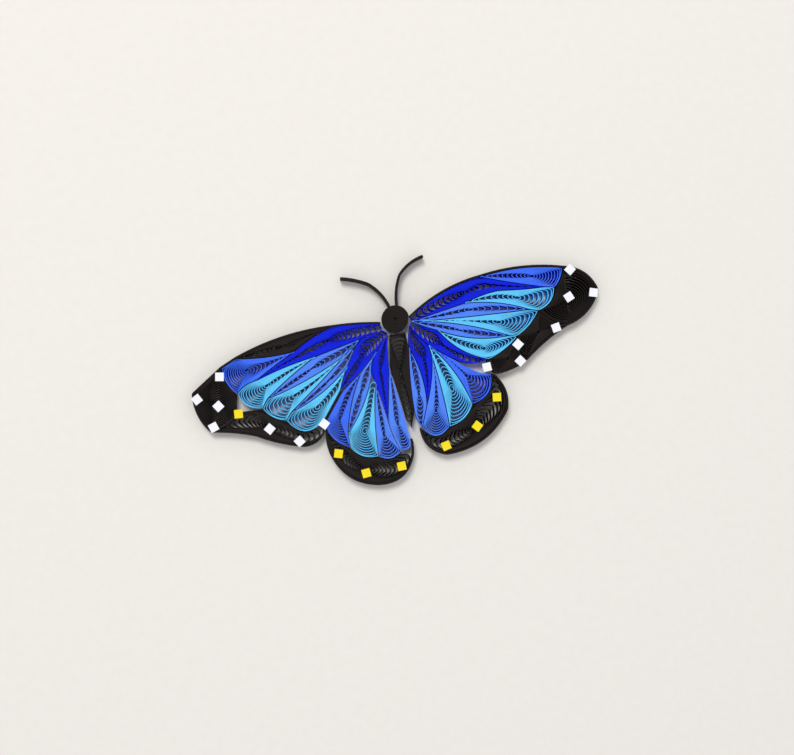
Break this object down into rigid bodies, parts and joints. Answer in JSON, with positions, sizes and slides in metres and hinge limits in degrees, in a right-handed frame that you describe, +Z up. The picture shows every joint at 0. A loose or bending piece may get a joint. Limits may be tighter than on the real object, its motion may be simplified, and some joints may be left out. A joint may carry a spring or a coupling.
{
  "type": "quilled paper butterfly",
  "caption": "Flat butterfly made of wound and pinched paper strips standing on edge and glued side by side, with punched squares on top, for gluing to a card.",
  "frame": {"origin": "under the middle of the whole butterfly, in the plane of its glue side", "axes": "+X to the right wing tip, +Y to the head, +Z up from the glue side"},
  "size_m": [0.0992, 0.0524, 0.0032],
  "materials": {
    "dark_blue_paper": "matte",
    "royal_blue_paper": "matte",
    "cornflower_blue_paper": "matte",
    "sky_blue_paper": "matte",
    "black_paper": "matte",
    "white_paper": "matte",
    "yellow_paper": "matte"
  },
  "bodies": {
    "root": {"body_coil": "black_paper", "head_coil": "black_paper", "left_antenna": "black_paper", "left_forewing_apex_coil": "black_paper", "left_forewing_edge_strip": "black_paper", "left_forewing_front_coil": "dark_blue_paper", "left_forewing_leading_coil": "black_paper", "left_forewing_margin_coil": "black_paper", "left_forewing_root_coil": "dark_blue_paper", "left_forewing_royal_coil": "royal_blue_paper", "left_forewing_sky_coil_1": "sky_blue_paper", "left_forewing_sky_coil_2": "sky_blue_paper", "left_forewing_sky_coil_3": "sky_blue_paper", "left_forewing_wedge_coil_1": "cornflower_blue_paper", "left_forewing_wedge_coil_2": "cornflower_blue_paper", "left_forewing_white_squares": "white_paper", "left_forewing_yellow_square": "yellow_paper", "left_hindwing_body_side_coil": "cornflower_blue_paper", "left_hindwing_dark_coil": "dark_blue_paper", "left_hindwing_edge_strip": "black_paper", "left_hindwing_margin_coil": "black_paper", "left_hindwing_middle_coil": "cornflower_blue_paper", "left_hindwing_royal_coil": "royal_blue_paper", "left_hindwing_sky_coil": "sky_blue_paper", "left_hindwing_wedge_coil": "cornflower_blue_paper", "left_hindwing_yellow_squares": "yellow_paper", "right_antenna": "black_paper", "right_forewing_apex_coil": "black_paper", "right_forewing_edge_strip": "black_paper", "right_forewing_front_coil": "dark_blue_paper", "right_forewing_margin_coil_1": "black_paper", "right_forewing_margin_coil_2": "black_paper", "right_forewing_root_coil": "dark_blue_paper", "right_forewing_royal_coil": "royal_blue_paper", "right_forewing_sky_coil_1": "sky_blue_paper", "right_forewing_sky_coil_2": "sky_blue_paper", "right_forewing_sky_coil_3": "sky_blue_paper", "right_forewing_wedge_coil_1": "cornflower_blue_paper", "right_forewing_wedge_coil_2": "cornflower_blue_paper", "right_forewing_white_squares": "white_paper", "right_hindwing_body_side_coil": "cornflower_blue_paper", "right_hindwing_dark_coil": "dark_blue_paper", "right_hindwing_edge_strip": "black_paper", "right_hindwing_margin_coil": "black_paper", "right_hindwing_middle_coil": "cornflower_blue_paper", "right_hindwing_royal_coil": "royal_blue_paper", "right_hindwing_sky_coil": "sky_blue_paper", "right_hindwing_yellow_squares": "yellow_paper"}
  },
  "joints": []
}
